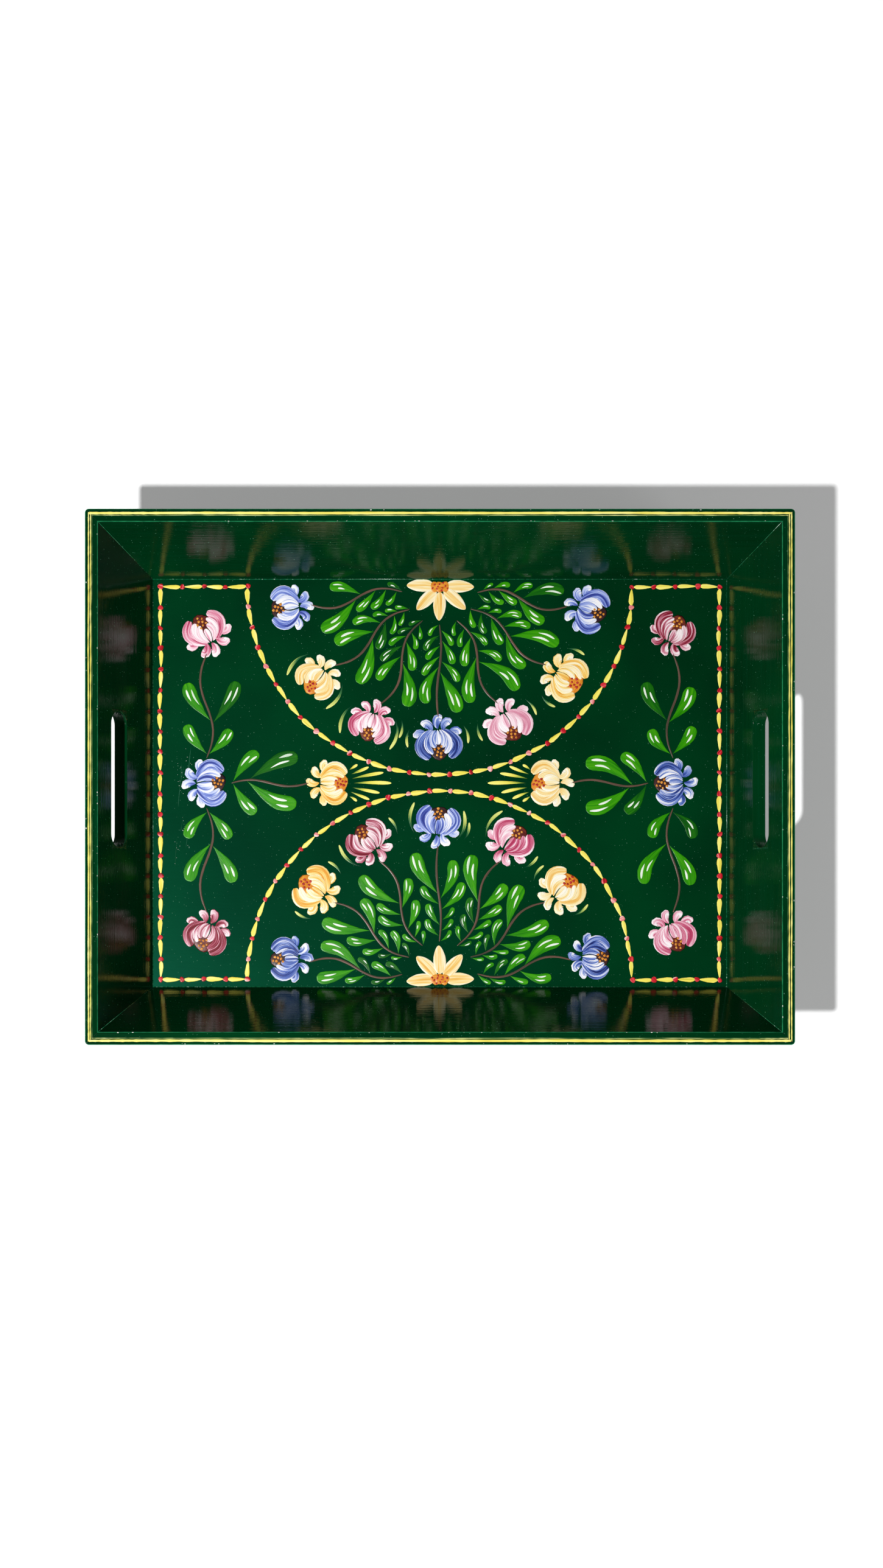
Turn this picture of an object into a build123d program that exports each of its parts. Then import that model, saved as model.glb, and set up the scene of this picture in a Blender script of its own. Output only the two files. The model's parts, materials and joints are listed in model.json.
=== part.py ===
"""Rectangular serving tray with splayed sides: four mitred boards, a base panel housed in a groove,
and brads that pin the mitres. Millimetres, +Z up, X along the length, origin under the centre of the
tray on the surface it stands on."""
from build123d import *
import math
import os

# Driving dimensions
RIM_LENGTH = 520.0  # outside the rim, along X
RIM_WIDTH = 393.0  # outside the rim, along Y
HEIGHT = 86.0  # from the table to the rim
SPLAY = 22.0  # degrees that each board leans out from the vertical
BOARD = 9.0  # thickness of the side and end boards
BASE = 6.0  # thickness of the base panel
BASE_LIFT = 4.0  # from the table to the underside of the base panel
GROOVE_DEPTH = 3.0  # how far the groove runs into a board at the tray's floor
BASE_PLAY = 0.2  # room between the panel's edge and the bottom of the groove
CORNER_RADIUS = 2.8  # the rounded upright corners outside
RIM_EASE = 0.8  # eased edges of the rim
FOOT_EASE = 0.5  # eased edges where the boards stand on the table

# The hand slot, routed level through each end board
SLOT_LENGTH = 101.0
SLOT_HEIGHT = 20.5
SLOT_CENTRE = 56.75  # from the table to the middle of the slot
SLOT_EASE = 0.6

# Brads, three to a corner, driven level through the long board into the end board
BRAD_HEIGHTS = (20.0, 47.0, 74.0)
BRAD_LENGTH = 22.0
BRAD_RADIUS = 0.6
BRAD_HEAD_RADIUS = 1.0
BRAD_HEAD = 0.8
BRAD_POINT = 1.6
BRAD_SUNK = 1.0  # filler over each head

# What follows from them
LEAN = math.tan(math.radians(SPLAY))  # run out for each millimetre up
WALL = BOARD / math.cos(math.radians(SPLAY))  # a board's thickness, measured level
FLOOR = BASE_LIFT + BASE
FLOOR_LENGTH = RIM_LENGTH - 2 * WALL - 2 * (HEIGHT - FLOOR) * LEAN
FLOOR_WIDTH = RIM_WIDTH - 2 * WALL - 2 * (HEIGHT - FLOOR) * LEAN
OVERCUT = 5.0  # how far a cutting solid runs past what it cuts
MITRE_REACH = 60.0  # how far in from the rim's corner a mitre cut runs
SEARCH_MARGIN = 0.1  # how near an edge has to be to the place it is looked for

os.makedirs("parts", exist_ok=True)


def half_outside(height, rim_size):
    """Half of the outside of the tray at a height above the table."""
    return rim_size / 2 - (HEIGHT - height) * LEAN


def level_sketch(height, inset, radius=0.0):
    """The tray's outline at a height, taken in by inset, measured level."""
    length = 2 * (half_outside(height, RIM_LENGTH) - inset)
    width = 2 * (half_outside(height, RIM_WIDTH) - inset)
    outline = RectangleRounded(length, width, radius) if radius else Rectangle(length, width)
    return Pos(0, 0, height) * outline


def whole_frame():
    """The four sides in one piece, before the mitres part them."""
    outside = loft([level_sketch(0, 0, CORNER_RADIUS), level_sketch(HEIGHT, 0, CORNER_RADIUS)], ruled=True)
    inside = loft([level_sketch(-OVERCUT, WALL), level_sketch(HEIGHT + OVERCUT, WALL)], ruled=True)
    groove = Pos(0, 0, BASE_LIFT + BASE / 2) * Box(
        FLOOR_LENGTH + 2 * GROOVE_DEPTH, FLOOR_WIDTH + 2 * GROOVE_DEPTH, BASE
    )
    frame = outside - inside
    rim_edges = frame.edges().filter_by_position(Axis.Z, HEIGHT - SEARCH_MARGIN, HEIGHT + SEARCH_MARGIN)
    frame = fillet(rim_edges, RIM_EASE)
    foot_edges = frame.edges().filter_by_position(Axis.Z, -SEARCH_MARGIN, SEARCH_MARGIN)
    frame = chamfer(foot_edges, FOOT_EASE)
    return frame - groove


def mitre_wedge(size_along, size_across):
    """The upright block that leaves the board on the -Y side of a frame, between its two mitres."""
    along, across = size_along / 2, size_across / 2
    outline = Polyline(
        (-along - OVERCUT, -across - OVERCUT),
        (along + OVERCUT, -across - OVERCUT),
        (along - MITRE_REACH, -across + MITRE_REACH),
        (-along + MITRE_REACH, -across + MITRE_REACH),
        close=True,
    )
    return Pos(0, 0, -OVERCUT) * extrude(make_face(outline), HEIGHT + 2 * OVERCUT)


def brad():
    """One brad along +Y: its head's outer face is at the origin."""
    profile = Polyline(
        (0, 0),
        (BRAD_HEAD_RADIUS, 0),
        (BRAD_HEAD_RADIUS, BRAD_HEAD),
        (BRAD_RADIUS, BRAD_HEAD),
        (BRAD_RADIUS, BRAD_LENGTH - BRAD_POINT),
        (0, BRAD_LENGTH),
        close=True,
    )
    return revolve(make_face(profile), Axis.Y)


def corner_brads(side_x, side_y):
    """The brads of one corner. side_x and side_y are -1 or 1 and say which corner."""
    brads = []
    for height in BRAD_HEIGHTS:
        x = side_x * (half_outside(height, RIM_LENGTH) - WALL / 2)
        y = side_y * (half_outside(height, RIM_WIDTH) - BRAD_SUNK)
        turn = 0 if side_y < 0 else 180
        brads.append(Pos(x, y, height) * Rot(0, 0, turn) * brad())
    return brads


def cut_away(board, pieces):
    """A board with the room that these pieces take inside it."""
    for piece in pieces:
        board = board - piece
    return board


def hand_slot():
    """The cutter for both hand slots: a level bar with round ends, along X."""
    outline = Plane.YZ * SlotOverall(SLOT_LENGTH, SLOT_HEIGHT)
    return Pos(0, 0, SLOT_CENTRE) * extrude(outline, RIM_LENGTH, both=True)


def runs_round_slot(edge):
    """True for an edge of the slot on a face of the board, and false for a seam through the board."""
    box = edge.bounding_box()
    beside = max(abs(box.min.Y), abs(box.max.Y)) < SLOT_LENGTH / 2 + SEARCH_MARGIN
    above = box.min.Z > SLOT_CENTRE - SLOT_HEIGHT / 2 - SEARCH_MARGIN
    below = box.max.Z < SLOT_CENTRE + SLOT_HEIGHT / 2 + SEARCH_MARGIN
    return beside and above and below and box.size.Y > SEARCH_MARGIN


def ease_slot(board):
    """Rounds the edges of a slot, on both faces of an end board."""
    return fillet(board.edges().filter_by(runs_round_slot), SLOT_EASE)


def base_panel():
    """The flat panel whose edges lie in the groove."""
    length = FLOOR_LENGTH + 2 * (GROOVE_DEPTH - BASE_PLAY)
    width = FLOOR_WIDTH + 2 * (GROOVE_DEPTH - BASE_PLAY)
    return Pos(0, 0, BASE_LIFT + BASE / 2) * Box(length, width, BASE)


def main():
    frame = whole_frame()
    long_wedge = mitre_wedge(RIM_LENGTH, RIM_WIDTH)
    end_wedge = mitre_wedge(RIM_WIDTH, RIM_LENGTH)
    slotted = frame - hand_slot()

    corners = {
        "front_left": (-1, -1),
        "front_right": (1, -1),
        "back_left": (-1, 1),
        "back_right": (1, 1),
    }
    brads = {name: corner_brads(*sides) for name, sides in corners.items()}
    every_brad = [piece for group in brads.values() for piece in group]

    nodes = {
        "base_panel": base_panel(),
        "side_board_front": frame & long_wedge,
        "side_board_back": frame & (Rot(0, 0, 180) * long_wedge),
        "end_board_left": ease_slot(slotted & (Rot(0, 0, -90) * end_wedge)),
        "end_board_right": ease_slot(slotted & (Rot(0, 0, 90) * end_wedge)),
    }
    for name in ("side_board_front", "side_board_back", "end_board_left", "end_board_right"):
        nodes[name] = cut_away(nodes[name], every_brad)
    for name, group in brads.items():
        nodes["brads_" + name] = Compound(children=group)

    for name, shape in nodes.items():
        export_step(shape, f"parts/{name}.step")


main()
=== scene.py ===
import json
import math
import random

import bmesh
import bpy
from mathutils import Matrix, Vector


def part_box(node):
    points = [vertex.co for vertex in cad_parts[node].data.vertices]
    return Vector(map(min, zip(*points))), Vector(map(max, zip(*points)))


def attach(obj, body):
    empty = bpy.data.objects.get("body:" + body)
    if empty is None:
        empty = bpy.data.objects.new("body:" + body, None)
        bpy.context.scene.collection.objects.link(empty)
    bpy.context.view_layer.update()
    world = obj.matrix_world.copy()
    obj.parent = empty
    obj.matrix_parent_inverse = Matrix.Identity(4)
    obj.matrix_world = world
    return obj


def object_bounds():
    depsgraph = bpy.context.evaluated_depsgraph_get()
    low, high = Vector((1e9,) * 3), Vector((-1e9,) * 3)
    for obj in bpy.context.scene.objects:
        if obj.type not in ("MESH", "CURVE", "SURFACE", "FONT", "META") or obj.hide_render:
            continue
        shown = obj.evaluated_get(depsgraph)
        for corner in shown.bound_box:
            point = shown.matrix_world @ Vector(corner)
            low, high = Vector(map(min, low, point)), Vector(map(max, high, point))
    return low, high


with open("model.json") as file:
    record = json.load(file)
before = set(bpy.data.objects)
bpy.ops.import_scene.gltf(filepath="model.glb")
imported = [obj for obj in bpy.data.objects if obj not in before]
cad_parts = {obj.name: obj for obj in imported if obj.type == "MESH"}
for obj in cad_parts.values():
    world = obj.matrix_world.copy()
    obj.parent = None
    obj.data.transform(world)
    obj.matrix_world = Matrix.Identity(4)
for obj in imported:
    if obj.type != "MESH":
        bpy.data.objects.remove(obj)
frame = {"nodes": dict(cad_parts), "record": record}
cad_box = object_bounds()
mm = 0.001

# ---------------------------------------------------------------- base panel
# The flat floor of the tray: a thin panel housed in a groove in the four boards.
# It is primed, painted dark green and lacquered before anything is painted on it.


def paint(red, green, blue):
    """A colour, 0 to 255 a channel, as the shader wants it."""
    shares = [channel / 255 for channel in (red, green, blue)]
    linear = [s / 12.92 if s <= 0.04045 else ((s + 0.055) / 1.055) ** 2.4 for s in shares]
    return (*linear, 1.0)


class Finish:
    """A material and short ways to add and join its nodes."""

    def __init__(self, name, roughness=0.3, specular=0.5):
        self.material = bpy.data.materials.new(name)
        self.material.use_nodes = True
        self.tree = self.material.node_tree
        self.shader = self.tree.nodes["Principled BSDF"]
        self.shader.inputs["Roughness"].default_value = roughness
        self.shader.inputs["Specular IOR Level"].default_value = specular

    def node(self, kind, **settings):
        made = self.tree.nodes.new("ShaderNode" + kind)
        for key, value in settings.items():
            setattr(made, key, value)
        return made

    def feed(self, target, value):
        """Joins an output to an input, or sets the input where the value is plain."""
        if isinstance(value, bpy.types.NodeSocket):
            self.tree.links.new(value, target)
        else:
            target.default_value = value

    def place(self, stretch=(1, 1, 1), attribute=None):
        """Where a pattern is read: on the object in metres, or along a stroke of paint."""
        mapping = self.node("Mapping")
        if attribute:
            source = self.node("Attribute", attribute_name=attribute).outputs["Vector"]
        else:
            source = self.node("TexCoord").outputs["Object"]
        self.feed(mapping.inputs["Vector"], source)
        mapping.inputs["Scale"].default_value = stretch
        return mapping.outputs["Vector"]

    def noise(self, where, scale=1.0, detail=2.0, rough=0.5, warp=0.0):
        made = self.node("TexNoise")
        self.feed(made.inputs["Vector"], where)
        for key, value in (("Scale", scale), ("Detail", detail), ("Roughness", rough), ("Distortion", warp)):
            made.inputs[key].default_value = value
        return made.outputs["Fac"]

    def range(self, value, low, high, to_low=0.0, to_high=1.0):
        made = self.node("MapRange")
        self.feed(made.inputs["Value"], value)
        for key, number in (("From Min", low), ("From Max", high), ("To Min", to_low), ("To Max", to_high)):
            made.inputs[key].default_value = number
        return made.outputs["Result"]

    def sum(self, kind, first, second):
        made = self.node("Math", operation=kind)
        self.feed(made.inputs[0], first)
        self.feed(made.inputs[1], second)
        return made.outputs["Value"]

    def mix(self, share, first, second):
        made = self.node("Mix", data_type="RGBA")
        self.feed(made.inputs["Factor"], share)
        self.feed(made.inputs["A"], first)
        self.feed(made.inputs["B"], second)
        return made.outputs["Result"]

    def bump(self, height, depth, strength=1.0, under=None):
        """Relief of this depth in metres, over the relief under it."""
        made = self.node("Bump")
        self.feed(made.inputs["Height"], height)
        made.inputs["Distance"].default_value = depth
        made.inputs["Strength"].default_value = strength
        if under is not None:
            self.feed(made.inputs["Normal"], under)
        return made.outputs["Normal"]

    def on(self, piece):
        piece.data.materials.clear()
        piece.data.materials.append(self.material)


CLOUD_SCALE = 9.0
DUST_SCALE = 1100.0
RUBBED_SCALE = 160.0
TOOL_MARKS = 0.006  # how far the marks of the router reach from each end of a slot
TOOL_FADE = 0.0005


def lacquer(name, brushed, gloss, ripple, streaky=0.3, highlight_above=None, slot=None):
    """Dark green gloss lacquer. brushed stretches the brush marks: small along them, large across.
    Above the height highlight_above, the eased edges are painted a lighter green: a painted highlight
    where light would catch them, in patches as if rubbed to the undercoat. slot is the box of a routed
    slot, whose round ends keep the marks of the tool under the lacquer."""
    made = Finish(name, roughness=gloss)
    streaks = made.noise(made.place(brushed), 1.0, 4.0, 0.6)
    clouds = made.noise(made.place(), CLOUD_SCALE, 3.0, 0.55)
    green = made.mix(made.range(clouds, 0.35, 0.68), paint(0, 40, 16), paint(0, 53, 22))
    green = made.mix(made.range(streaks, 0.45, 0.75, 0.0, streaky), green, paint(2, 66, 38))
    dust = made.noise(made.place(), DUST_SCALE, 0.0)
    green = made.mix(made.range(dust, 0.825, 0.845, 0.0, 0.6), green, paint(110, 160, 134))
    if highlight_above is not None:
        split = made.node("SeparateXYZ")
        made.feed(split.inputs["Vector"], made.place())
        facing = made.node("SeparateXYZ")
        made.feed(facing.inputs["Vector"], made.node("NewGeometry").outputs["Normal"])
        high = made.range(split.outputs["Z"], highlight_above, highlight_above + 0.0002)
        eased = made.range(facing.outputs["Z"], 0.985, 0.93)
        rubbed = made.range(made.noise(made.place(), RUBBED_SCALE, 3.0, 0.6), 0.3, 0.6, 0.35, 1.0)
        edge_highlight_and_wear = made.sum("MULTIPLY", made.sum("MULTIPLY", high, eased), rubbed)
        # painted highlight: the eased rim edges are coloured a lighter green where light would catch them,
        # patchy like rubbed wear
        green = made.mix(edge_highlight_and_wear, green, paint(30, 122, 78))
    made.feed(made.shader.inputs["Base Color"], green)
    uneven = made.range(streaks, 0.3, 0.7, gloss * (1 - streaky), gloss * (1 + streaky))
    made.feed(made.shader.inputs["Roughness"], uneven)
    relief = made.bump(streaks, ripple)
    if slot is not None:
        low, high = slot
        split = made.node("SeparateXYZ")
        made.feed(split.inputs["Vector"], made.place())
        along = made.sum("ABSOLUTE", split.outputs["Y"], 0.0)
        near_end = made.range(along, high.y - TOOL_MARKS, high.y)
        inside = made.range(along, high.y + 3 * TOOL_FADE, high.y + TOOL_FADE)
        over = made.range(split.outputs["Z"], low.z, low.z + TOOL_FADE)
        under = made.range(split.outputs["Z"], high.z, high.z - TOOL_FADE)
        marks = made.noise(made.place((900, 260, 260)), 1.0, 3.0, 0.6)
        for mask in (near_end, inside, over, under):
            marks = made.sum("MULTIPLY", marks, mask)
        relief = made.bump(marks, 0.0009, under=relief)
    made.feed(made.shader.inputs["Normal"], relief)
    return made


floor_lacquer = lacquer("floor_lacquer", (60, 700, 700), 0.23, 0.000001, streaky=0.02)
floor_lacquer.shader.inputs["Specular Tint"].default_value = (0.06, 0.8, 0.52, 1)
floor_lacquer.on(frame["nodes"]["base_panel"])
floor_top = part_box("base_panel")[1].z

# -------------------------------------------------------------------- boards
# Four 9 mm boards, mitred at the corners and glued: two long sides and two ends with a routed
# hand slot. The lacquer is brushed along each board, and the fine ripples of the brush stay in it.

RIM_EASE = 0.0009
# above this height the eased rim edges carry a painted highlight, mixed with rubbed wear
edge_highlight_height = cad_box[1].z - RIM_EASE
BOARD_GLOSS = 0.07
BRUSH_RIPPLE = 0.00009
long_lacquer = lacquer("long_board_lacquer", (14, 700, 700), BOARD_GLOSS, BRUSH_RIPPLE,
                       highlight_above=edge_highlight_height)
# the record's opening lies inside the slot, so it is widened to the slot's faces and its round end
SLOT_MARGIN = 0.0005
SLOT_ROUND_END = 0.0085
openings = {opening["name"]: opening["box_m"] for opening in frame["record"]["physics"]["openings"]}
slot_low, slot_high = (Vector(corner) for corner in openings["hand_slot_left"])
slot_low.z -= SLOT_MARGIN
slot_high += Vector((0, SLOT_ROUND_END, SLOT_MARGIN))
end_lacquer = lacquer("end_board_lacquer", (700, 14, 700), BOARD_GLOSS, BRUSH_RIPPLE,
                      highlight_above=edge_highlight_height, slot=(slot_low, slot_high))
for side in ("front", "back"):
    long_lacquer.on(frame["nodes"]["side_board_" + side])
for side in ("left", "right"):
    end_lacquer.on(frame["nodes"]["end_board_" + side])
for finish in (long_lacquer, end_lacquer):
    finish.shader.inputs["Specular IOR Level"].default_value = 0.3

# --------------------------------------------------------------------- brads
# Steel brads, driven level through each long board into the end board and sunk under filler.
# They are bright drawn wire with the fine lines of the die along them.

wire = Finish("drawn_wire", roughness=0.32)
wire.shader.inputs["Metallic"].default_value = 1.0
die_lines = wire.noise(wire.place((4000, 60, 4000)), 1.0, 2.0)
wire.feed(wire.shader.inputs["Base Color"], wire.mix(die_lines, paint(150, 150, 154), paint(208, 208, 212)))
wire.feed(wire.shader.inputs["Normal"], wire.bump(die_lines, 0.00001))
for corner in ("front_left", "front_right", "back_left", "back_right"):
    wire.on(frame["nodes"]["brads_" + corner])

# ----------------------------------------------------------------- rim lines
# A bright yellow line runs round the top of the rim: one broad pull on each long board, two thin
# ones on each end board. A paler hairline runs just inside it. They waver, as long pulls do.

# in millimetres: the first layer of paint, what each later layer adds, how much lower a stroke is
# at its sides, and how far its edge runs into the lacquer
PAINT_THICK = 0.05
PAINT_LAYER = 0.02
PAINT_ROUND = 0.012
PAINT_SUNK = 0.02
BRUSH_TIP = 0.004  # the share of a stroke, at each end, where it has its least width
DAB_SIDES = 14
DAB_UNEVEN = 0.09
DISC_STEP = 2.5
painted = []  # the middle and the radius of each disc of paint on the tray so far


def along_knots(knots, share):
    """The point at a share from 0 to 1 of a smooth line through the knots."""
    spans = len(knots) - 1
    at = min(int(share * spans), spans - 1)
    t = share * spans - at
    here, there = knots[at], knots[at + 1]
    before = knots[at - 1] if at else 2 * here - there
    after = knots[at + 2] if at + 2 <= spans else 2 * there - here
    leave, arrive = (there - before) / 2, (after - here) / 2
    rise, fall = 3 * (there - here) - 2 * leave - arrive, 2 * (here - there) + leave + arrive
    return here + leave * t + rise * t**2 + fall * t**3


def half_width(width, share, press, lift):
    """Half the width of a stroke at a share of its length. press and lift shape its start and end:
    near 0 they are square, at 0.5 round, and over 1 drawn out thin."""
    fullest = press / (press + lift)
    peak = fullest**press * (1 - fullest) ** lift
    return width / 2 * share**press * (1 - share) ** lift / peak


def cover(knots, width, press, lift, first=0.0):
    """Discs that cover a stroke beyond the share first, each a middle and a radius."""
    length = sum((b - a).length for a, b in zip(knots, knots[1:]))
    count = max(6, round(length / DISC_STEP))
    shares = [first + (1 - first) * (k + 0.5) / count for k in range(count)]
    return [(along_knots(knots, share), half_width(width, share, press, lift)) for share in shares]


class Painting:
    """Strokes of paint that dry into one piece. Each is a low closed ridge that follows the brush,
    and the discs that it covers are noted in painted, so that later strokes can keep clear of it."""

    def __init__(self, name, finishes, level=floor_top, seed=1, middle=(0, 0), turn=0.0):
        self.name = name
        self.finishes = finishes
        self.level = level
        self.middle = Vector((*middle, 0))
        self.turn = Matrix.Rotation(math.radians(turn), 4, "Z")
        self.random = random.Random(seed)
        self.layer = 0
        self.bm = bmesh.new()
        self.run = self.bm.verts.layers.float_vector.new("run")
        self.load = self.bm.verts.layers.float_vector.new("load")

    def height(self, layer):
        self.layer = self.layer + 1 if layer is None else layer
        return PAINT_THICK + PAINT_LAYER * self.layer

    def put(self, vertex, x, y, z):
        """Sets a vertex down on the tray, from millimetres in the painting's own frame."""
        vertex.co = (self.turn @ Vector((x, y, z)) + self.middle) * mm
        vertex.co.z += self.level

    def note(self, x, y, radius):
        """Notes a disc of paint, in millimetres on the tray."""
        painted.append(((self.turn @ Vector((x, y, 0)) + self.middle).xy, radius))

    def stroke(self, knots, width, finish=0, press=0.5, lift=0.5, layer=None, cells=(12, 6), white=1,
               waver=0.0):
        """One pull of the brush along knots, in millimetres. white is 1 where the white is on the
        left of the brush and -1 on the right."""
        line = [Vector((x, y, 0)) for x, y in knots]
        length = sum((b - a).length for a, b in zip(line, line[1:]))
        grid = bmesh.ops.create_grid(self.bm, x_segments=cells[0], y_segments=cells[1], size=1.0)["verts"]
        for at, radius in cover(line, width, press, lift):
            self.note(at.x, at.y, radius)
        seed, phase = self.random.uniform(0, 90), self.random.uniform(0, math.tau)
        top = self.height(layer)
        for vertex in grid:
            share = (1 - math.cos(math.pi * (vertex.co.x + 1) / 2)) / 2
            across = math.sin(math.pi / 2 * vertex.co.y)
            edge = max(abs(vertex.co.x), abs(vertex.co.y)) > 0.999
            kept = min(max(share, BRUSH_TIP), 1 - BRUSH_TIP)
            quiver = math.sin(phase + share * length * 0.9) * math.cos(phase + share * length * 0.37)
            half = half_width(width, kept, press, lift) * (1 + waver * quiver)
            point = along_knots(line, share)
            ahead = along_knots(line, min(share + 0.01, 1)) - along_knots(line, max(share - 0.01, 0))
            point += Vector((-ahead.y, ahead.x, 0)).normalized() * across * half
            self.put(vertex, point.x, point.y, -PAINT_SUNK if edge else top - PAINT_ROUND * across**2)
            vertex[self.run] = (share * length, across * half, seed)
            vertex[self.load] = (share, across * white, across**2)
        self.close(grid, finish)

    def dab(self, at, size, finish=0, layer=None, squash=1.0, turn=0.0):
        """A dot set down with the tip or the butt of the brush."""
        ring = bmesh.ops.create_circle(self.bm, segments=DAB_SIDES, radius=1.0, cap_ends=True)["verts"]
        disc = ring[0].link_faces[0]
        top = self.height(layer)
        heights = dict.fromkeys(ring, -PAINT_SUNK)
        for inset, height in ((0.12, top - PAINT_ROUND), (0.4, top)):
            bmesh.ops.inset_individual(self.bm, faces=[disc], thickness=inset, use_even_offset=True)
            heights.update(dict.fromkeys(disc.verts, height))
        self.note(*at, size / 2)
        seed = self.random.uniform(0, 90)
        cosine, sine = math.cos(turn) * size / 2, math.sin(turn) * size / 2
        for vertex, height in heights.items():
            uneven = 1 + DAB_UNEVEN * math.sin(3 * math.atan2(vertex.co.y, vertex.co.x) + seed)
            x, y = vertex.co.x * uneven, vertex.co.y * squash * uneven
            self.put(vertex, at[0] + x * cosine - y * sine, at[1] + x * sine + y * cosine, height)
            vertex[self.run] = (size * x / 2, size * y / 2, seed)
            vertex[self.load] = ((x + 1) / 2, y, x * x + y * y)
        self.close(heights, finish)

    def close(self, verts, finish):
        """Closes the underside of a stroke and gives the whole of it its finish."""
        faces = {face for vertex in verts for face in vertex.link_faces}
        rim = {edge for face in faces for edge in face.edges if edge.is_boundary}
        under = bmesh.ops.contextual_create(self.bm, geom=list(rim))["faces"]
        for face in (*faces, *under):
            face.material_index = finish
            face.smooth = face in faces

    def dry(self, slot):
        """Turns the strokes into a piece that rides on the tray."""
        bmesh.ops.recalc_face_normals(self.bm, faces=self.bm.faces)
        mesh = bpy.data.meshes.new(self.name)
        self.bm.to_mesh(mesh)
        self.bm.free()
        for finish in self.finishes:
            mesh.materials.append(finish.material)
        piece = bpy.data.objects.new(self.name, mesh)
        bpy.context.scene.collection.objects.link(piece)
        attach(piece, "root")


def brushed(name, colours, bands=0.55, fine=0.3, tip=0.0, side=0.0, edge=0.0, base=0.5, gloss=0.3):
    """Paint laid with a loaded brush. colours run from the least white to the most. bands and fine
    are how much the wide and the hair-thin streaks change it, tip, side and edge how much whiter
    it gets towards the stroke's end, its loaded side and both its sides."""
    made = Finish(name, roughness=gloss, specular=0.22)
    wide = made.noise(made.place((0.035, 0.55, 1), "run"), 1.0, 1.0, 0.5, 0.4)
    hairs = made.noise(made.place((0.05, 3.2, 1), "run"), 1.0, 2.0, 0.6)
    split = made.node("SeparateXYZ")
    made.feed(split.inputs["Vector"], made.place((1, 1, 1), "load"))
    value = made.range(wide, 0.25, 0.75, base - bands / 2, base + bands / 2)
    value = made.sum("ADD", value, made.range(hairs, 0.3, 0.7, -fine / 2, fine / 2))
    for socket, amount, low in (("X", tip, 0.0), ("Y", side, -1.0), ("Z", edge, 0.0)):
        if amount:
            whiter = made.range(split.outputs[socket], low, 1.0, -amount / 2, amount / 2)
            value = made.sum("ADD", value, whiter)
    ramp = made.node("ValToRGB")
    made.feed(ramp.inputs["Fac"], value)
    stops = ramp.color_ramp.elements
    while len(stops) < len(colours):
        stops.new(0.5)
    for at, colour in enumerate(colours):
        stops[at].position = 0.12 + 0.76 * at / (len(colours) - 1)
        stops[at].color = paint(*colour)
    made.feed(made.shader.inputs["Base Color"], ramp.outputs["Color"])
    made.feed(made.shader.inputs["Normal"], made.bump(hairs, 0.00006))
    return made


yellow_line = brushed("yellow_line", [(138, 146, 52), (222, 208, 84), (240, 228, 112), (244, 236, 146)],
                      base=0.66)
pale_line = brushed("pale_line", [(10, 64, 36), (120, 152, 84), (206, 216, 138)], bands=0.9, fine=0.6,
                    base=0.6)
rim_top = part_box("side_board_front")[1].z
rim_half = cad_box[1].xy / mm
# each board, the way its outside faces in degrees, and half the rim along it and across it
boards = (("front", -90, rim_half), ("right", 0, rim_half.yx),
          ("back", 90, rim_half), ("left", 180, rim_half.yx))
# how far each line is from the outside of the rim, its width, its finish and how much it wavers
LONG_LINES = [(3.2, 2.0, 0, 0.2), (4.9, 0.6, 1, 0.45)]
END_LINES = [(2.6, 0.9, 0, 0.3), (4.1, 0.8, 0, 0.4), (5.2, 0.35, 1, 0.5)]
LINE_SPANS = 12
LINE_SHAKE = 0.14
for name, away, ends in boards:
    # turned so that the board lies along the painting's own x, with the outside of the tray at +y
    rim = Painting("rim_line_" + name, [yellow_line, pale_line], rim_top, seed=len(name) * 7, turn=away - 90)
    for inset, width, finish, waver in LONG_LINES if name in ("front", "back") else END_LINES:
        out, reach = ends.y - inset, ends.x - inset
        knots = []
        for k in range(LINE_SPANS + 1):
            along = reach * (2 * k / LINE_SPANS - 1)
            knots.append((along, out + rim.random.uniform(-LINE_SHAKE, LINE_SHAKE)))
        rim.stroke(knots, width, finish, press=0.03, lift=0.05, cells=(150, 4), waver=waver)
    rim.dry("line_paint")

# -------------------------------------------------------------- border chain
# A chain of yellow spindles and red berries frames the painting. It runs up both ends, turns in
# at the corners and swings in two wide arcs that nearly meet in the middle of the tray.

LINK = 15.6
CHAIN_INSET = 5.8
ARC_SPREAD = 0.67  # half the foot of an arc, as a share of half the floor
ARC_GAP = 6.0
ARC_STEPS = 60
SPINDLE_WIDTHS = (3.4, 4.4)
SPINDLE_SHAKE = 0.35
BERRY_SIZES = (3.9, 4.9)
BERRY_SHAKE = 0.5
SPLAY = 22  # degrees that each board leans out
board_lean = math.tan(math.radians(SPLAY))
floor_half = Vector((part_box("end_board_right")[0].x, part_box("side_board_back")[0].y))
floor_half = (floor_half + Vector((1, 1)) * board_lean * floor_top) / mm
chain_half = floor_half - Vector((CHAIN_INSET, CHAIN_INSET))
arc_half = floor_half.x * ARC_SPREAD
arc_depth = chain_half.y - ARC_GAP

spindle_paint = brushed("spindle_yellow", [(138, 152, 34), (224, 208, 74), (240, 226, 98), (244, 236, 150)],
                        bands=0.4, fine=0.35, base=0.62)
berry_red = brushed("berry_red", [(140, 8, 20), (198, 26, 40), (212, 62, 72), (238, 186, 180)],
                    bands=0.7, fine=0.3, side=0.3, base=0.42)
berry_pink = brushed("berry_pink", [(190, 44, 54), (214, 98, 102), (228, 146, 144), (240, 208, 202)],
                     bands=0.6, fine=0.3, side=0.3, base=0.58)


def evenly(route, links):
    """Points at even steps along a route."""
    lengths = [0.0]
    for a, b in zip(route, route[1:]):
        lengths.append(lengths[-1] + (b - a).length)
    points = []
    for k in range(links + 1):
        want = lengths[-1] * k / links
        at = min(sum(far <= want for far in lengths), len(route) - 1)
        share = (want - lengths[at - 1]) / (lengths[at] - lengths[at - 1])
        points.append(route[at - 1].lerp(route[at], share))
    return points


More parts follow.
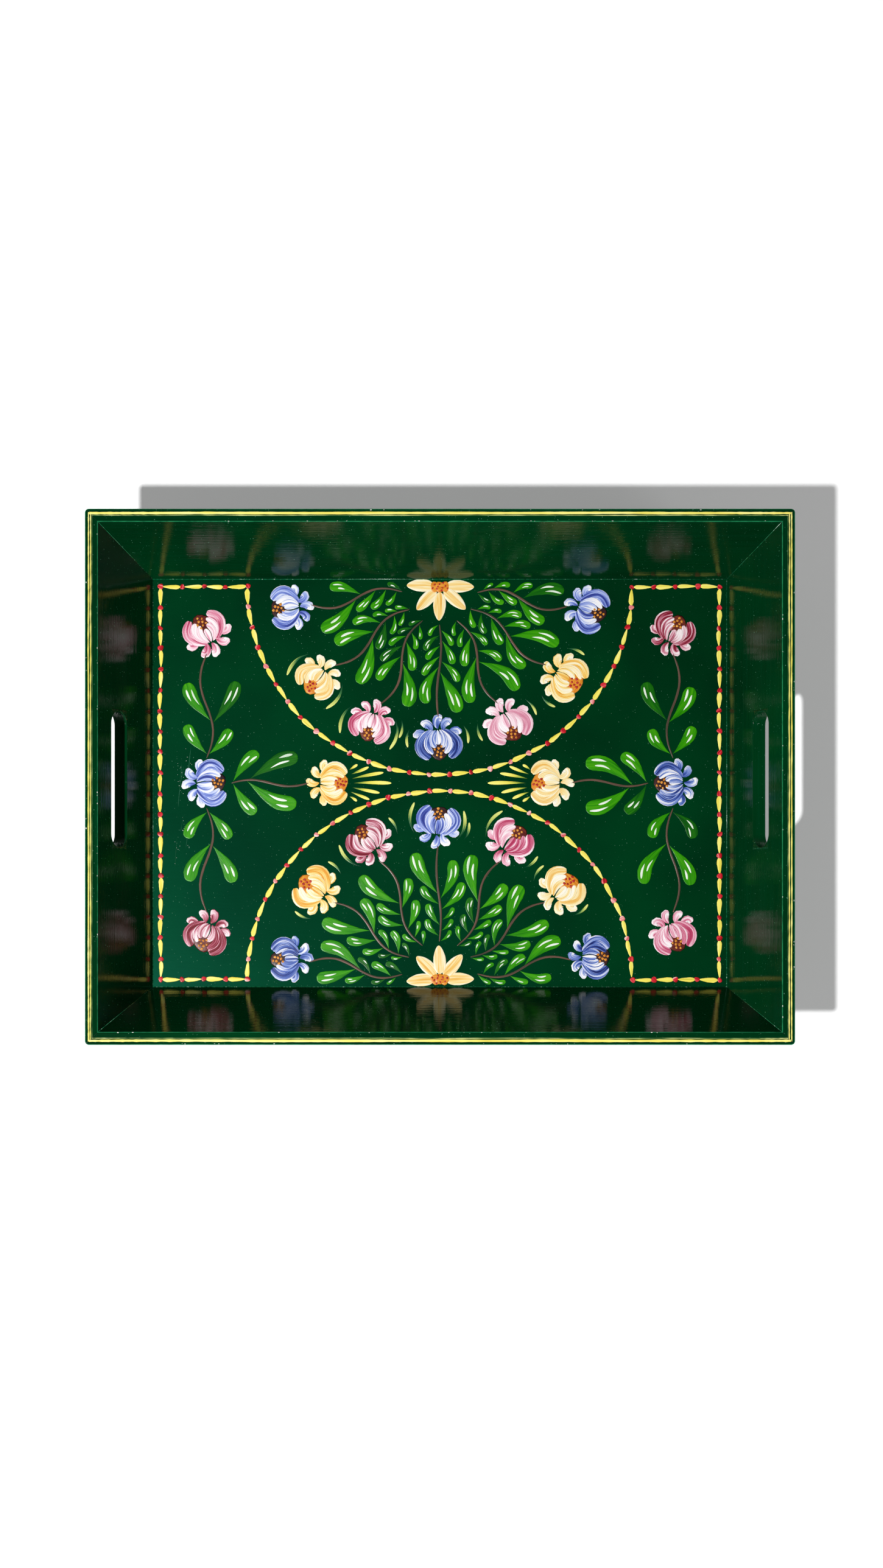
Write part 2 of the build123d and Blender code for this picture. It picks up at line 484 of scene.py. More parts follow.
def chain(name, legs, seed, pinker=0.0, ends=True):
    """Berries set out evenly along each leg, with a spindle pulled between each pair."""
    made = Painting(name, [spindle_paint, berry_red, berry_pink], seed=seed)
    draw = made.random
    berries = []
    for leg in legs:
        length = sum((b - a).length for a, b in zip(leg, leg[1:]))
        berries += evenly(leg, round(length / LINK))[bool(berries):]
    shakes = (-BERRY_SHAKE, BERRY_SHAKE)
    berries = [at + Vector((draw.uniform(*shakes), draw.uniform(*shakes))) for at in berries]
    for a, b in zip(berries, berries[1:]):
        side = (b - a).orthogonal().normalized() * draw.uniform(-SPINDLE_SHAKE, SPINDLE_SHAKE)
        knots = [a.lerp(b, 0.08), a.lerp(b, 0.4) + side, a.lerp(b, 0.92)]
        width = draw.uniform(*SPINDLE_WIDTHS)
        made.stroke(knots, width, press=0.62, lift=0.8, layer=1, cells=(10, 4), waver=0.1)
    for at in berries if ends else berries[1:-1]:
        finish = 2 if draw.random() < pinker else 1
        squash, turn = draw.uniform(0.75, 1), draw.uniform(0, 3)
        made.dab(at, draw.uniform(*BERRY_SIZES), finish, layer=3, squash=squash, turn=turn)
    made.dry("line_paint")


for name, side in (("left", -1), ("right", 1)):
    foot_back = Vector((side * arc_half, chain_half.y))
    corner_back = Vector((side * chain_half.x, chain_half.y))
    foot_front, corner_front = foot_back * Vector((1, -1)), corner_back * Vector((1, -1))
    legs = [[foot_back, corner_back], [corner_back, corner_front], [corner_front, foot_front]]
    chain("chain_" + name, legs, 3 + side)
swing = [math.pi * k / ARC_STEPS for k in range(ARC_STEPS + 1)]
back_arc = [Vector((-arc_half * math.cos(a), chain_half.y - arc_depth * math.sin(a))) for a in swing]
for name, up in (("back", 1), ("front", -1)):
    chain("chain_arc_" + name, [[at * Vector((1, up)) for at in back_arc]], 40 + up, pinker=0.6, ends=False)

# ------------------------------------------------------------------- daisies
# Half a daisy grows out of the foot of each long wall: five broad petals pulled from the tip in
# towards a flat orange eye, which is then dotted with red.

daisy_petal = brushed("daisy_petal", [(214, 146, 56), (234, 188, 96), (240, 216, 154), (243, 234, 206)],
                      bands=0.6, fine=0.45, edge=0.5, base=0.7)
eye_orange = brushed("eye_orange", [(190, 106, 24), (216, 134, 38), (230, 166, 74)], bands=0.5, fine=0.5)
eye_dot_red = brushed("eye_dot_red", [(126, 22, 26), (172, 38, 36), (198, 82, 66)], bands=0.6, fine=0.4)
GOLDEN_TURN = math.pi * (3 - math.sqrt(5))
DAISY_REACH = 26.0
DAISY_ROOT = 4.2
DAISY_WIDTH = 10.0
EYE_SIZE = 7.6
EYE_DOTS = 10
EYE_SPREAD = (6.4, 3.7)
daisy_feet = {"back": Vector((0, chain_half.y)), "front": Vector((0, -chain_half.y))}

for name, foot in daisy_feet.items():
    daisy = Painting("daisy_" + name, [daisy_petal, eye_orange, eye_dot_red], seed=len(name), middle=foot,
                     turn=180 if foot.y > 0 else 0)
    draw = daisy.random
    for angle in (0, 180, 45, 135, 90):
        way = Matrix.Rotation(math.radians(angle + draw.uniform(-4, 4)), 2) @ Vector((1, 0))
        aside = way.orthogonal() * draw.uniform(-0.6, 0.6)
        full = draw.uniform(0.95, 1.02)
        knots = [way * DAISY_ROOT, way * DAISY_REACH * 0.5 + aside, way * DAISY_REACH * full]
        daisy.stroke(knots, DAISY_WIDTH, press=0.6, lift=0.62, cells=(16, 8), waver=0.03)
    for x in (-3.6, 3.6, 0):
        daisy.dab((x, 0.2), EYE_SIZE, 1, squash=1.15)
    for k in range(EYE_DOTS):
        far = math.sqrt((k + 0.5) / EYE_DOTS)
        across, along = EYE_SPREAD[0] * far, EYE_SPREAD[1] * far
        at = (across * math.cos(k * GOLDEN_TURN), along * math.sin(k * GOLDEN_TURN))
        daisy.dab(at, draw.uniform(1.6, 2.2), 2, squash=0.75, turn=draw.uniform(0, 3))
    daisy.dry("flower_paint")

# ------------------------------------------------------------------- flowers
# Round peony heads, each built from double-loaded strokes: a ruffle of short lobes, a dark eye, two
# big petals that close round it, then the inner petals, and last the dots of pollen. Each fan has
# seven. At each end of the tray one stands in the middle, two in the corners and one further in.

WHITE = (240, 238, 238)
palettes = {
    "blue": [(46, 58, 136), (96, 116, 200), (172, 188, 232), WHITE],
    "deep_blue": [(22, 30, 88), (54, 80, 162), (126, 150, 212), WHITE],
    "pink": [(170, 52, 88), (208, 110, 140), (234, 184, 200), (243, 236, 237)],
    "pale_pink": [(198, 116, 142), (226, 168, 186), (238, 204, 214), (243, 236, 238)],
    "maroon": [(104, 14, 28), (150, 44, 66), (206, 134, 154), (241, 230, 231)],
    "yellow": [(220, 146, 44), (238, 192, 88), (242, 220, 150), (244, 236, 212)],
    "cream": [(230, 178, 90), (240, 212, 142), (242, 228, 182), (244, 240, 226)],
}
petal_paints = {
    name: [
        brushed(name + "_ruffle", colours, bands=0.65, fine=0.5, tip=0.6, base=0.62),
        brushed(name + "_petal", colours, bands=0.85, fine=0.7, edge=0.35, base=0.5),
        brushed(name + "_heart", colours, bands=0.8, fine=0.6, tip=0.3, base=0.74),
    ]
    for name, colours in palettes.items()
}
dark_eye = brushed("dark_eye", [(30, 20, 30), (50, 32, 36), (76, 42, 36)], bands=0.6, fine=0.5)
brown_eye = brushed("brown_eye", [(70, 20, 20), (94, 34, 30), (120, 54, 38)], bands=0.6, fine=0.5)
pollen = brushed("pollen_orange", [(168, 92, 20), (210, 134, 44), (228, 170, 88)], bands=0.7, fine=0.5)
eyes = {"blue": (dark_eye, pollen), "deep_blue": (dark_eye, pollen), "yellow": (eye_orange, eye_dot_red),
        "cream": (eye_orange, eye_dot_red)}
# a head is painted round its own middle, in millimetres, with its mouth upwards
HEAD_FOOT = -7.5
HEAD_HALF = 13.4
LOBES = 5
LOBE_SPREAD = 68.0
# along a lobe: how far from the middle of the head, and how many degrees it has curled
LOBE_CURL = ((8.2, -3), (12.5, -7), (15.8, -1), (15.6, 9))
HEAD_EYE = 15.5
HEAD_EYE_UP = 7.2
POLLEN_DOTS = 8
POLLEN_UP = 8.6
POLLEN_SPREAD = 4.4
# each petal's lean, from -1 at the left to 1 at the right, how high it ends and its width
BIG_PETALS = [(-1.0, 13.4, 8.6), (1.0, 13.2, 8.8)]
INNER_PETALS = [(-0.62, 10.4, 5.2), (0.62, 9.6, 5.2), (-0.34, 6.2, 5.0), (0.36, 5.6, 5.4), (0.03, 3.6, 4.8)]


def flower(name, palette, middle, mouth):
    """A flower head. mouth is the way its open side faces, in degrees from the tray's length."""
    eye, dots = eyes.get(palette, (brown_eye, pollen))
    seed = sum(map(ord, name))
    head = Painting("flower_" + name, [*petal_paints[palette], eye, dots], seed=seed, middle=middle,
                    turn=mouth - 90)
    draw = head.random
    size = draw.uniform(0.97, 1.05)

    def petal(lean, top, width, finish, press, lift, shake):
        """Pulled from the foot of the head, out round one side and in again to the mouth."""
        top += draw.uniform(-shake, shake)
        lean += draw.uniform(-shake, shake) / HEAD_HALF
        knots = []
        for k in range(5):
            swell = math.sin(math.pi * (0.1 + 0.18 * k))
            knots.append((size * HEAD_HALF * lean * swell, size * (HEAD_FOOT + (top - HEAD_FOOT) * k / 4)))
        head.stroke(knots, width * size * draw.uniform(0.92, 1.08), finish, press=press, lift=lift,
                    cells=(16, 8), white=1 if lean < 0 else -1)

    # the outer lobes first, so that the middle one lies over them
    for k in sorted(range(LOBES), key=lambda k: -abs(k - (LOBES - 1) / 2)):
        lean = -LOBE_SPREAD + 2 * LOBE_SPREAD * k / (LOBES - 1) + draw.uniform(-5, 5)
        curl = 1 if lean > 0 else -1
        knots = []
        for far, swing in LOBE_CURL:
            a = math.radians(lean + curl * swing)
            knots.append((size * far * math.sin(a), size * (1.5 * abs(math.sin(a)) - far * math.cos(a))))
        head.stroke(knots, draw.uniform(6.4, 7.8) * size, press=0.75, lift=0.4, white=-curl)
    head.dab((0, HEAD_EYE_UP * size), HEAD_EYE * size, 3, squash=0.95)
    for place in BIG_PETALS:
        petal(*place, 1, press=0.5, lift=0.34, shake=0.5)
    for place in INNER_PETALS:
        petal(*place, 1 if draw.random() < 0.3 else 2, press=0.75, lift=0.45, shake=0.8)
    for k in range(POLLEN_DOTS):
        far = POLLEN_SPREAD * math.sqrt((k + 0.5) / POLLEN_DOTS)
        across, up = far * math.cos(k * GOLDEN_TURN), POLLEN_UP + far * math.sin(k * GOLDEN_TURN)
        at = (size * across, size * up)
        squash, turn = draw.uniform(0.75, 1), draw.uniform(0, 3)
        head.dab(at, draw.uniform(1.9, 2.5), 4, squash=squash, turn=turn)
    head.dry("flower_paint")


# round each fan the colours run blue, yellow, pink to a blue in the middle, and back the same way
FAN_ROWS = {
    "back": ["blue", "cream", "pink", "deep_blue", "pale_pink", "yellow", "blue"],
    "front": ["deep_blue", "yellow", "maroon", "blue", "pink", "cream", "deep_blue"],
}
# the end head, the inner one, and those in the back and the front corner
END_ROWS = {"left": ["blue", "yellow", "pink", "maroon"], "right": ["deep_blue", "cream", "maroon", "pink"]}
FAN_FIRST = 8.0  # degrees round the arc to the first head of a fan
HEAD_ROOM = Vector((31, 26))  # from the middle of a fan head to the arc, along the tray and across it
INSET_STEP = 0.5
INNER_ROOM = 32.0
fan_heads = {"back": [], "front": []}
for name, foot in daisy_feet.items():
    up = 1 if foot.y > 0 else -1
    draw = random.Random(len(name) + 60)
    for k, palette in enumerate(FAN_ROWS[name]):
        a = math.radians(FAN_FIRST + (180 - 2 * FAN_FIRST) * k / (len(FAN_ROWS[name]) - 1))
        way = Vector((-math.cos(a) * (arc_half - HEAD_ROOM.x), -up * math.sin(a) * (arc_depth - HEAD_ROOM.y)))
        middle = foot + way + Vector((draw.uniform(-2, 2), draw.uniform(-1.5, 1.5)))
        mouth = math.degrees(math.atan2(way.y, way.x)) + draw.uniform(-15, 15)
        fan_heads[name].append((middle, mouth))
        flower(f"{name}_{k + 1}", palette, middle, mouth)
# a corner head stands as far from the arc as it does from both legs of the border
corner_inset = HEAD_HALF
while min((chain_half - Vector((1, 1)) * corner_inset - at).length for at in back_arc) > corner_inset:
    corner_inset += INSET_STEP
CORNER_HEAD = chain_half - Vector((1, 1)) * corner_inset
END_HEAD = Vector((CORNER_HEAD.x, 0))
# an inner head stands on the middle line, where each arc is INNER_ROOM away from that line
INNER_HEAD = Vector((arc_half * math.sqrt(1 - ((chain_half.y - INNER_ROOM) / arc_depth) ** 2), 0))
for name, side in (("left", -1), ("right", 1)):
    inward = 90 + side * 90
    end, inner, back, front = END_ROWS[name]
    flower(name + "_end", end, END_HEAD * Vector((side, 1)), inward + 4)
    flower(name + "_inner", inner, INNER_HEAD * Vector((side, 1)), inward)
    flower(name + "_back", back, CORNER_HEAD * Vector((side, 1)), 90 - side * 28)
    flower(name + "_front", front, CORNER_HEAD * Vector((side, -1)), -90 + side * 22)

# ---------------------------------------------------------------- tendrils
# Quick strokes of pale yellow-green flick round the fan flowers, thick where the brush lands and
# fading as it runs dry. Beside the two inner flowers they open into a fan of rays.

tendril_paint = brushed("tendril_yellow", [(0, 62, 38), (60, 116, 66), (182, 194, 96), (220, 222, 130)],
                        bands=0.3, fine=0.35, tip=0.95, base=0.5)
ray_paint = brushed("ray_yellow", [(8, 80, 34), (156, 174, 60), (228, 216, 86), (240, 232, 120)],
                    bands=0.25, fine=0.3, tip=0.9, base=0.62)
# beside a flower that opens upwards: where each flick starts, where it ends, its bow and its width
FLICKS = [((16.5, -10), (19.5, 14), 3.5, 2.8), ((20.5, -9), (23, 5), 1.5, 2.3)]
FLICK_PRESS, FLICK_LIFT = 1.15, 0.5
FLICK_GAP = 0.3
# rays on each side of the middle one. START, LENGTH and WIDTH are the middle ray's, and the others
# say what changes from each ray to the next one out
RAYS = 3
RAY_TURN = 11
RAY_APART = 3.4
RAY_START = 18
RAY_LENGTH, RAY_SHORTER = 30, 7.5
RAY_WIDTH, RAY_THINNER = 3.2, 0.3
NEAR = 45.0  # paint further than this from the middle of a new stroke can't touch it
EDGE_GAP = 1.5


def has_room(discs, gap):
    """True where these discs clear the boards, and by gap the paint that is already down."""
    middle = discs[len(discs) // 2][0]
    near = [spot for spot in painted if (spot[0] - middle).length < NEAR]
    for at, radius in discs:
        if any(abs(at[k]) + radius + EDGE_GAP > floor_half[k] for k in (0, 1)):
            return False
        if any((at - other).length < radius + size + gap for other, size in near):
            return False
    return True


def flick(made, tail, head, bow, width):
    """A stroke that is thin and dry at its tail and thick at its head, where there is room for it."""
    left = (head - tail).orthogonal().normalized() * bow
    knots = [tail, tail.lerp(head, 0.34) + left * 0.9, tail.lerp(head, 0.68) + left * 0.85, head]
    if has_room(cover(knots, width, FLICK_PRESS, FLICK_LIFT), FLICK_GAP):
        made.stroke(knots, width, press=FLICK_PRESS, lift=FLICK_LIFT, layer=1, cells=(14, 4))


for name, heads in fan_heads.items():
    for half, chosen in (("left", heads[1:4]), ("right", heads[4:6])):
        made = Painting(f"tendrils_{name}_{half}", [tendril_paint], seed=len(name + half) + 500)
        for middle, mouth in chosen:
            turned = Matrix.Rotation(math.radians(mouth - 90), 2)
            for side in (-1, 1):
                for tail, head, bow, width in FLICKS:
                    shake = Vector((made.random.uniform(-1, 1), made.random.uniform(-1.5, 1.5)))
                    start, end = ((Vector(at) + shake) * Vector((side, 1)) for at in (tail, head))
                    flick(made, middle + turned @ start, middle + turned @ end, -side * bow, width)
        made.dry("line_paint")
for name, side in (("left", -1), ("right", 1)):
    made = Painting("rays_" + name, [ray_paint], seed=len(name) + 600)
    for k in range(-RAYS, RAYS + 1):
        a = math.radians(k * RAY_TURN)
        way = Vector((-side * math.cos(a), math.sin(a)))
        start = INNER_HEAD * Vector((side, 1)) + Vector((-side * (RAY_START - abs(k)), k * RAY_APART))
        length = (RAY_LENGTH - RAY_SHORTER * abs(k)) * made.random.uniform(0.9, 1.1)
        bow = made.random.uniform(-0.5, 0.5)
        flick(made, start, start + way * length, bow, RAY_WIDTH - RAY_THINNER * abs(k))
    made.dry("line_paint")

# --------------------------------------------------------- stems and leaves
# Thin brown stems run from the daisies and the end flowers to the others. The leaves are single
# green strokes that spring from the stems wherever they have room, with white flashes over them.

leaf_green = brushed("leaf_green", [(0, 66, 14), (24, 106, 0), (42, 138, 0), (68, 156, 8)],
                     bands=0.35, fine=0.4, tip=0.12, edge=-0.22, base=0.6)
leaf_dark = brushed("leaf_dark", [(0, 54, 16), (6, 80, 10), (22, 102, 6), (44, 126, 8)],
                    bands=0.35, fine=0.45, tip=0.1, edge=-0.2, base=0.5)
leaf_flash = brushed("leaf_flash", [(106, 158, 98), (208, 224, 202), (240, 242, 238)], bands=0.3, fine=0.4,
                     base=0.7)
stem_brown = brushed("stem_brown", [(10, 54, 32), (60, 58, 46), (98, 74, 62), (118, 84, 70)],
                     bands=0.3, fine=0.35, base=0.58)
SWAY = 5.0
INNER_SWAY = 2.5
STEM_WIDTH = 1.9
STEM_SPANS = 7
DAISY_CLEAR = 3.0
END_CLEAR = 19.0  # from the middle of an end head to the roots of its stems
HEAD_CLEAR = 16.0  # from the end of a stem to the middle of its head
LEAF_PRESS, LEAF_LIFT = 1.35, 0.42
LEAF_GAP = 0.7
LEAF_FREE = 0.25  # the share of a leaf that may touch its own stem
LEAF_START = 0.8
# what is tried, in this order, until a leaf has room: its size, and degrees more that it opens
LEAF_SIZES = (1.0, 0.88, 0.76, 0.64, 0.52)
LEAF_TURNS = (0, 8, -6, 15)
LIGHT_LEAVES = 0.85
# where along the leaf each flash starts and ends, and how far aside it lies in half widths
FLASHES = ((0.46, 0.80, 0.30), (0.60, 0.92, -0.36))
TWO_FLASHES = 5  # a leaf wider than this has both
# the leaves a stem may bear, the largest first: the share of the stem where each springs, its side,
# 1 to the left as the stem grows, the angle it opens at, its reach and its width
FAN_LEAVES = [(0.50 - 0.055 * k, 1 - k % 2 * 2, 26, 36 - 2.4 * k, 11.5 - 0.75 * k) for k in range(10)]
END_LEAVES = [(0.36, 1, 31, 34, 11.0), (0.34, -1, 31, 34, 11.0), (0.04, 1, 38, 26, 9.5),
              (0.04, -1, 38, 26, 9.5)]
INNER_LEAVES = [(0.24, 1, 26, 38, 12.5), (0.20, -1, 25, 40, 12.5), (0.02, 1, 50, 28, 10.0),
                (0.02, -1, 50, 28, 10.0)]


def stem(spray, root, crown, sway):
    """A thin stem from root to crown that sways each way. Gives the line it follows."""
    left = (crown - root).orthogonal().normalized()
    knots = []
    for k in range(STEM_SPANS + 1):
        share = k / STEM_SPANS
        knots.append(root.lerp(crown, share) + left * sway * math.sin(math.tau * share))
    spray.stroke(knots, STEM_WIDTH, 3, press=0.28, lift=0.22, layer=5, cells=(26, 4), waver=0.12)
    return [knot.to_3d() for knot in knots]


def leaf(spray, knots, width):
    """A leaf along its knots, thin at the stem and round at its tip, with white flashes over it."""
    draw = spray.random
    finish = 0 if draw.random() < LIGHT_LEAVES else 1
    spray.stroke(knots, width, finish, press=LEAF_PRESS, lift=LEAF_LIFT, layer=1, cells=(18, 8), waver=0.03)
    line = [knot.to_3d() for knot in knots]
    hand = draw.choice((-1, 1))
    for start, end, aside in FLASHES if width > TWO_FLASHES else FLASHES[:1]:
        start, end = start + draw.uniform(-0.06, 0.05), end + draw.uniform(-0.07, 0.04)
        flash = []
        for share in (start, (start + end) / 2, end):
            here = along_knots(line, share)
            ahead = along_knots(line, share + 0.01) - here
            out = ahead.xy.orthogonal().normalized() * hand * aside * width / 2 * (0.8 + 0.3 * share)
            flash.append(here.xy + out)
        wide = max(1.1, width * draw.uniform(0.15, 0.21))
        spray.stroke(flash, wide, 2, press=0.95, lift=0.6, layer=3, cells=(10, 4))


def grow(spray, line, share, side, opens, reach, width):
    """A leaf that springs from a stem. It is turned or made smaller until it clears the other paint,
    and left out where that doesn't help."""
    draw = spray.random
    run = (line[-1] - line[0]).xy.normalized()
    start = along_knots(line, share).xy + run.orthogonal() * side * LEAF_START
    opens += draw.uniform(-3, 3)
    reach *= draw.uniform(0.92, 1.08)
    bow = side * reach * draw.uniform(0.04, 0.15)
    for size in LEAF_SIZES:
        for more in LEAF_TURNS:
            way = Matrix.Rotation(math.radians(side * (opens + more)), 2) @ run
            tip = start + way * reach * size
            left = way.orthogonal() * bow * size
            knots = [start, start.lerp(tip, 0.34) + left * 0.72, start.lerp(tip, 0.68) + left * 0.95, tip]
            if has_room(cover(knots, width * size, LEAF_PRESS, LEAF_LIFT, LEAF_FREE), LEAF_GAP):
                leaf(spray, knots, width * size)
                return


sprays = {}
for name in ("back", "front", "left", "right"):
    for half in ("left", "right") if name in daisy_feet else ("back", "front"):
        paints = [leaf_green, leaf_dark, leaf_flash, stem_brown]
        sprays[name, half] = Painting(f"leaves_{name}_{half}", paints, seed=sum(map(ord, name + half)))
stems = []
for name, foot in daisy_feet.items():
    up = 1 if foot.y > 0 else -1
    for k, (middle, mouth) in enumerate(fan_heads[name]):
        half, hand = ("left", -1) if k < 3 else ("right", 1)
        way = (middle - foot).normalized()
        # the middle stem stands nearly straight, so that it clears the leaves on both sides
        sway = SWAY * hand * up * (0.3 if k == 3 else 1)
        spray = sprays[name, half]
        line = stem(spray, foot + way * (DAISY_REACH + DAISY_CLEAR), middle - way * HEAD_CLEAR, sway)
        stems.append((spray, line, FAN_LEAVES))
for name, side in (("left", -1), ("right", 1)):
    end, inner = END_HEAD * Vector((side, 1)), INNER_HEAD * Vector((side, 1))
    for half, up in (("back", 1), ("front", -1)):
        crown = CORNER_HEAD * Vector((side, up)) - Vector((0, up * HEAD_CLEAR))
        line = stem(sprays[name, half], end + Vector((0, up * END_CLEAR)), crown, SWAY * side * up)
        stems.append((sprays[name, half], line, END_LEAVES))
    # the stem to the inner flower and its leaves are painted with the back half of the spray
    crown = inner + Vector((side * HEAD_CLEAR, 0))
    line = stem(sprays[name, "back"], end - Vector((side * END_CLEAR, 0)), crown, INNER_SWAY)
    stems.append((sprays[name, "back"], line, INNER_LEAVES))
for turn in range(len(FAN_LEAVES)):
    for spray, line, leaves in stems:
        if turn < len(leaves):
            grow(spray, line, *leaves[turn])
for spray in sprays.values():
    spray.dry("leaf_paint")

# -------------------------------------------------------------- joint beads
# Lacquer gathers in a thin bead where the floor is housed in the boards and down the four inner
# mitres. The beads dry a little lighter than the boards, and dust sticks in them.

BEAD = 0.00042
BEAD_SIDES = 10
DUST_IN_BEAD = 620.0
bead_lacquer = Finish("bead_lacquer", roughness=0.2)
speckle = bead_lacquer.noise(bead_lacquer.place(), DUST_IN_BEAD, 2.0, 0.6)
dusty = bead_lacquer.mix(bead_lacquer.range(speckle, 0.3, 0.56), paint(0, 44, 22), paint(20, 104, 66))
dusty = bead_lacquer.mix(bead_lacquer.range(speckle, 0.62, 0.7), dusty, paint(176, 206, 190))
bead_lacquer.feed(bead_lacquer.shader.inputs["Base Color"], dusty)
foot_half = floor_half * mm
mouth_half = foot_half + Vector((1, 1)) * board_lean * (cad_box[1].z - RIM_EASE - floor_top)
corner_ways = [Vector(way) for way in ((-1, -1), (1, -1), (1, 1), (-1, 1))]
foot_corners = [(foot_half * way).to_3d() for way in corner_ways]
mouth_corners = [(mouth_half * way).to_3d() for way in corner_ways]
for corners, height in ((foot_corners, floor_top), (mouth_corners, cad_box[1].z - RIM_EASE)):
    for corner in corners:
        corner.z = height
beads = bmesh.new()
round_the_floor = zip(foot_corners, foot_corners[1:] + foot_corners[:1])
for start, end in (*round_the_floor, *zip(foot_corners, mouth_corners)):
    turned = (end - start).to_track_quat("Z", "Y").to_matrix().to_4x4()
    place = Matrix.Translation((start + end) / 2) @ turned
    bmesh.ops.create_cone(beads, cap_ends=True, segments=BEAD_SIDES, radius1=BEAD, radius2=BEAD,
                          depth=(end - start).length, matrix=place)
bead_mesh = bpy.data.meshes.new("joint_beads")
beads.to_mesh(bead_mesh)
beads.free()
for face in bead_mesh.polygons:
    face.use_smooth = len(face.vertices) == 4
joint_beads = bpy.data.objects.new("joint_beads", bead_mesh)
bpy.context.scene.collection.objects.link(joint_beads)
bead_lacquer.on(joint_beads)
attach(joint_beads, "root")

# ---------------------------------------------------------- mitre hairlines
# Across the flat of the rim each glued mitre shows as a dark hairline, where the lacquer has sunk
# a little into the joint.

HAIRLINE = 0.4
RIM_OUTSIDE = 1.2
RIM_INSIDE = 9.0
sunk_lacquer = brushed("sunk_lacquer", [(0, 14, 6), (0, 30, 14)], bands=0.8, fine=0.4)
hairlines = Painting("mitre_hairlines", [sunk_lacquer], rim_top, seed=71)
for side in (-1, 1):
    for up in (-1, 1):
        way = Vector((side, up))
        outer, inner = ((rim_half - Vector((1, 1)) * inset) * way for inset in (RIM_OUTSIDE, RIM_INSIDE))
        hairlines.stroke([outer, inner], HAIRLINE, press=0.2, lift=0.3, layer=0, cells=(20, 3), waver=0.3)
hairlines.dry("board_lacquer")

# --------------------------------------------------------------------- wear
# The tray has been used: the sharp edges of the rim have small chips down to the pale primer, and
# dishes have left faint scuffs on the floor, each a broken line of fine scratches and dust.

primer = brushed("primer", [(150, 172, 156), (204, 214, 202), (232, 234, 226)], bands=0.6, fine=0.5, base=0.6)
scuff = brushed("scuff", [(6, 66, 38), (14, 82, 52), (70, 128, 104)], bands=0.9, fine=0.7, base=0.42)
CHIPS = 22
CHIP_SIZES = (0.5, 1.5)
BOARD_TOP = 9.3  # from the outside of the rim to its inner edge
INNER_CHIPS = 0.7
SCUFFS = 7
SCUFF_LENGTHS = (10, 38)
SCUFF_WIDTHS = (0.25, 0.45)
SPECKS = 6
SPECK_SIZES = (0.25, 0.55)
for name, away, ends in boards:
    chips = Painting("chips_" + name, [primer], rim_top, seed=len(name) + 700, turn=away - 90)
    draw = chips.random
    for _ in range(CHIPS):
        inside = draw.random() < INNER_CHIPS
        inset = BOARD_TOP - draw.uniform(0, 0.3) if inside else draw.uniform(0.8, 1.1)
        at = (draw.uniform(-0.97, 0.97) * (ends.x - BOARD_TOP), ends.y - inset)
        chips.dab(at, draw.uniform(*CHIP_SIZES), layer=0, squash=draw.uniform(0.25, 0.45))
    chips.dry("board_lacquer")
scuffs = Painting("scuffs", [scuff, primer], seed=731)
draw = scuffs.random
for _ in range(SCUFFS):
    start = Vector((draw.uniform(-0.93, -0.86) * floor_half.x, draw.uniform(-0.45, 0.1) * floor_half.y))
    length = draw.uniform(*SCUFF_LENGTHS)
    knots = [start + Vector((draw.uniform(-0.5, 0.5) + share * draw.uniform(1, 4), share * length))
             for share in (0, 0.5, 1)]
    scuffs.stroke(knots, draw.uniform(*SCUFF_WIDTHS), press=0.8, lift=0.8, layer=0, cells=(16, 3), waver=0.4)
    for _ in range(SPECKS):
        share = draw.random()
        at = start + Vector((draw.gauss(1.5, 1.5), share * length))
        scuffs.dab(at, draw.uniform(*SPECK_SIZES), 1, layer=0, squash=draw.uniform(0.6, 1))
scuffs.dry("floor_lacquer")

# -------------------------------------------------------------- stage, light
# The tray lies on a white sheet. A small key lamp stands high near the front left, and a weak, wide
# one low on the right lifts the shadow on the sheet more than it lights the inner walls.

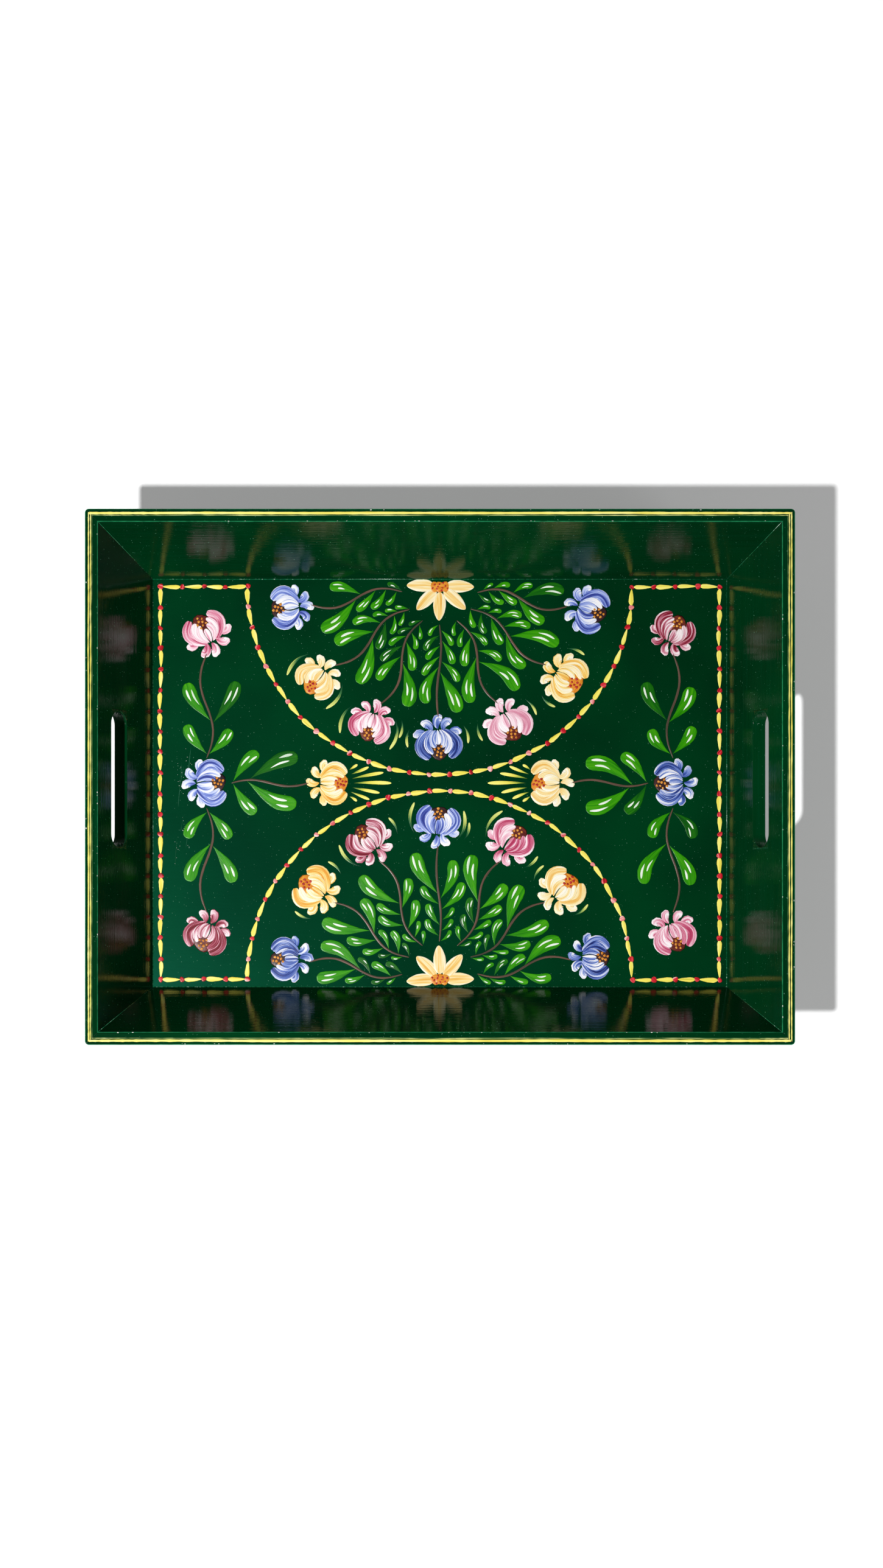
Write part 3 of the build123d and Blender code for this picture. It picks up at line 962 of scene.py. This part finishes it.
SHEET_HALF = 4.0
SHEET_GLOW = 0.25
sheet_mesh = bpy.data.meshes.new("sheet")
sheet_bm = bmesh.new()
bmesh.ops.create_grid(sheet_bm, x_segments=1, y_segments=1, size=SHEET_HALF)
sheet_bm.to_mesh(sheet_mesh)
sheet_bm.free()
sheet = bpy.data.objects.new("sheet", sheet_mesh)
bpy.context.scene.collection.objects.link(sheet)
sheet_paper = Finish("white_sheet", roughness=0.9, specular=0.0)
sheet_paper.shader.inputs["Base Color"].default_value = (0.9, 0.9, 0.9, 1)
sheet_paper.shader.inputs["Emission Color"].default_value = (1, 1, 1, 1)
sheet_paper.shader.inputs["Emission Strength"].default_value = SHEET_GLOW
sheet_paper.on(sheet)


def lamp(name, place, size, watts):
    """A round lamp at place, aimed at the middle of the tray."""
    made = bpy.data.objects.new(name, bpy.data.lights.new(name, "AREA"))
    made.data.shape = "DISK"
    made.data.size = size
    made.data.energy = watts
    made.location = place
    made.rotation_euler = (-Vector(place)).to_track_quat("-Z", "Y").to_euler()
    bpy.context.scene.collection.objects.link(made)


lamp("key_lamp", (-1.05, -0.78, 2.5), size=0.14, watts=94)
lamp("fill_lamp", (2.2, -1.1, 0.6), size=0.9, watts=12)
# the studio is light round the sides and dark overhead, where a gloss floor would mirror it
world = bpy.data.worlds.new("studio")
world.use_nodes = True
sky = world.node_tree
direction = sky.nodes.new("ShaderNodeTexCoord")
height = sky.nodes.new("ShaderNodeSeparateXYZ")
fade = sky.nodes.new("ShaderNodeMapRange")
for key, number in (("From Min", 0.6), ("From Max", 0.85), ("To Min", 0.15), ("To Max", 0.01)):
    fade.inputs[key].default_value = number
sky.links.new(direction.outputs["Generated"], height.inputs["Vector"])
sky.links.new(height.outputs["Z"], fade.inputs["Value"])
sky.links.new(fade.outputs["Result"], sky.nodes["Background"].inputs["Strength"])
sky.nodes["Background"].inputs["Color"].default_value = (1, 1, 1, 1)
bpy.context.scene.world = world
bpy.context.scene.view_settings.view_transform = "Standard"

# the camera looks straight down from over the front half of the tray
CAMERA_RISE = 1.668
camera = bpy.data.objects.new("camera", bpy.data.cameras.new("camera"))
camera.data.lens = 50
camera.data.sensor_width = 36
camera.data.shift_x = 0.0027
camera.data.shift_y = 0.0835
camera.location = (-0.002, -0.101, floor_top + CAMERA_RISE)
bpy.context.scene.collection.objects.link(camera)
bpy.context.scene.camera = camera
